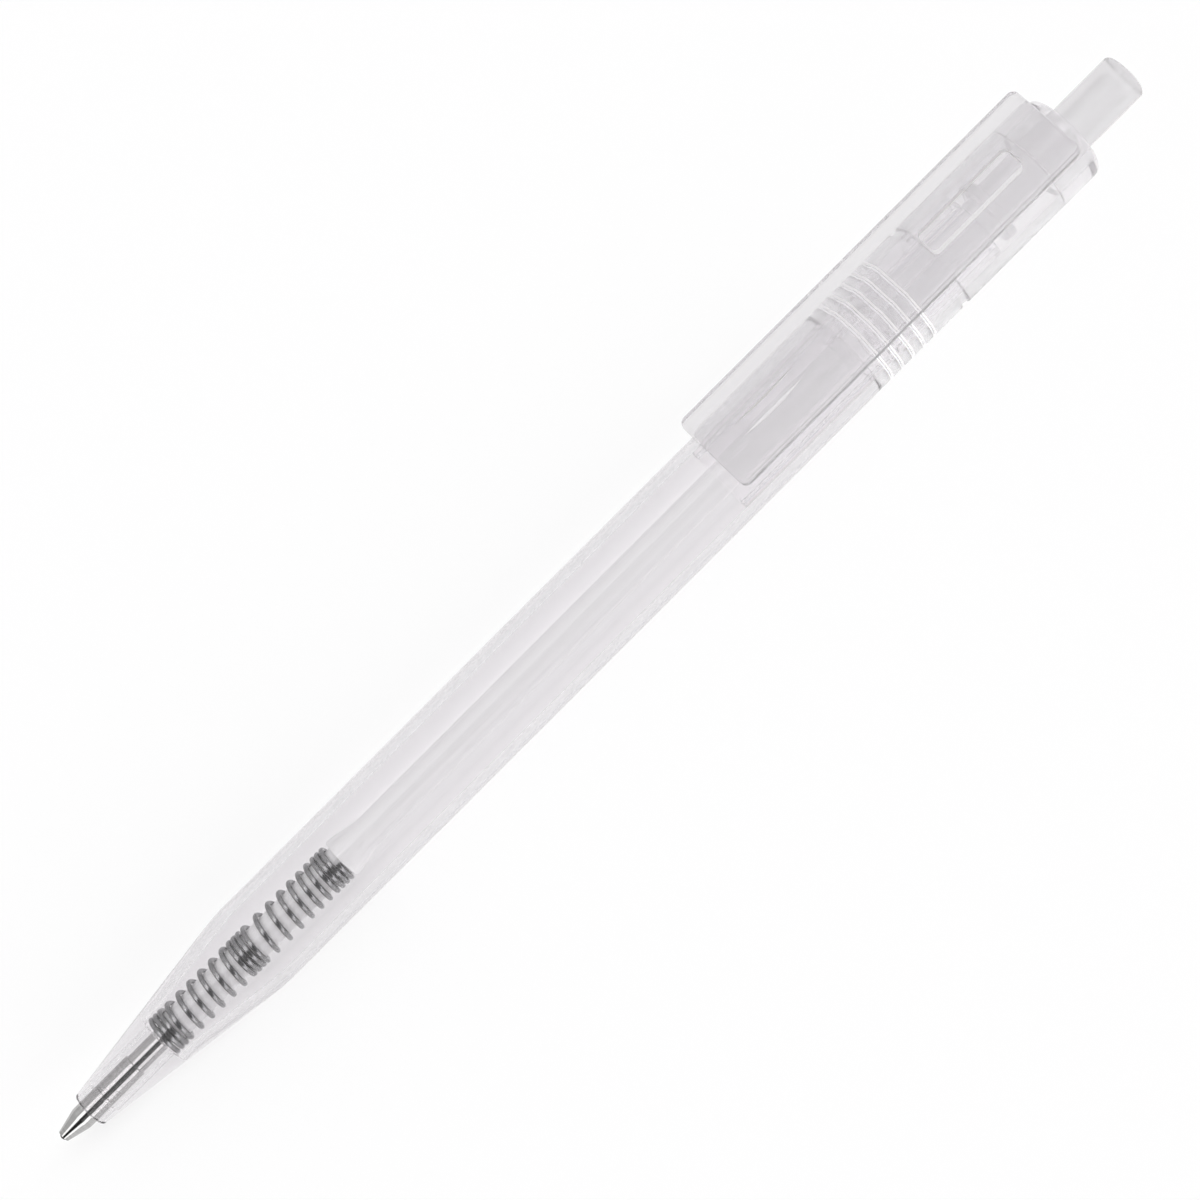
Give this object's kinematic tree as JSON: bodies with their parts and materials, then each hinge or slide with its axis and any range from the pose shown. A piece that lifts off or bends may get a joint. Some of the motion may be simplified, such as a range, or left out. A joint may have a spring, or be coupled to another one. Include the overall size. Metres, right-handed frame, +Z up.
{
  "type": "push-button ballpoint pen",
  "caption": "Clear push-button ballpoint pen with tapered nose, coil spring, grooved collar and wide flat pocket clip; the button slides the refill's point in and out.",
  "frame": {"origin": "middle of the pen's length with the point out, on the surface that the barrel lies on", "axes": "+X along the pen from point to button, +Z up through the clip, +Y across"},
  "size_m": [0.1434, 0.0094, 0.0117],
  "materials": {
    "clear_plastic": "clear, polished",
    "milky_plastic": "milky, extruded",
    "ink": "paste",
    "nickel_silver": "turned, bright",
    "ball_carbide": "ground",
    "spring_steel": "drawn wire, bright"
  },
  "bodies": {
    "barrel": {"barrel": "clear_plastic", "grooved_collar": "clear_plastic", "clip_housing": "clear_plastic", "guide_sleeve": "clear_plastic", "return_spring": "spring_steel"},
    "refill": {"refill_tube": "milky_plastic", "ink_column": "ink", "tip_socket": "nickel_silver"},
    "button": {"push_button": "clear_plastic"},
    "rotor": {"cam_rotor": "clear_plastic"},
    "ball": {"writing_ball": "ball_carbide"}
  },
  "joints": [
    {"name": "refill_slide", "type": "slide", "parent": "barrel", "child": "refill", "axis": [1, 0, 0], "range_m": [-0.0012, 0.005], "deforming": ["return_spring"]},
    {"name": "button_slide", "type": "slide", "parent": "barrel", "child": "button", "axis": [1, 0, 0], "range_m": [-0.0012, 0.005]},
    {"name": "rotor_turn", "type": "hinge", "parent": "refill", "child": "rotor", "pos_m": [0.03608, 0, 0.00475], "axis": [1, 0, 0], "continuous": true},
    {"name": "ball_roll", "type": "hinge", "parent": "refill", "child": "ball", "pos_m": [-0.07118, 0, 0.00475], "axis": [0, 1, 0], "continuous": true}
  ],
  "couplings": [
    {"joint": "button_slide", "follows": "refill_slide", "ratio": 1}
  ]
}
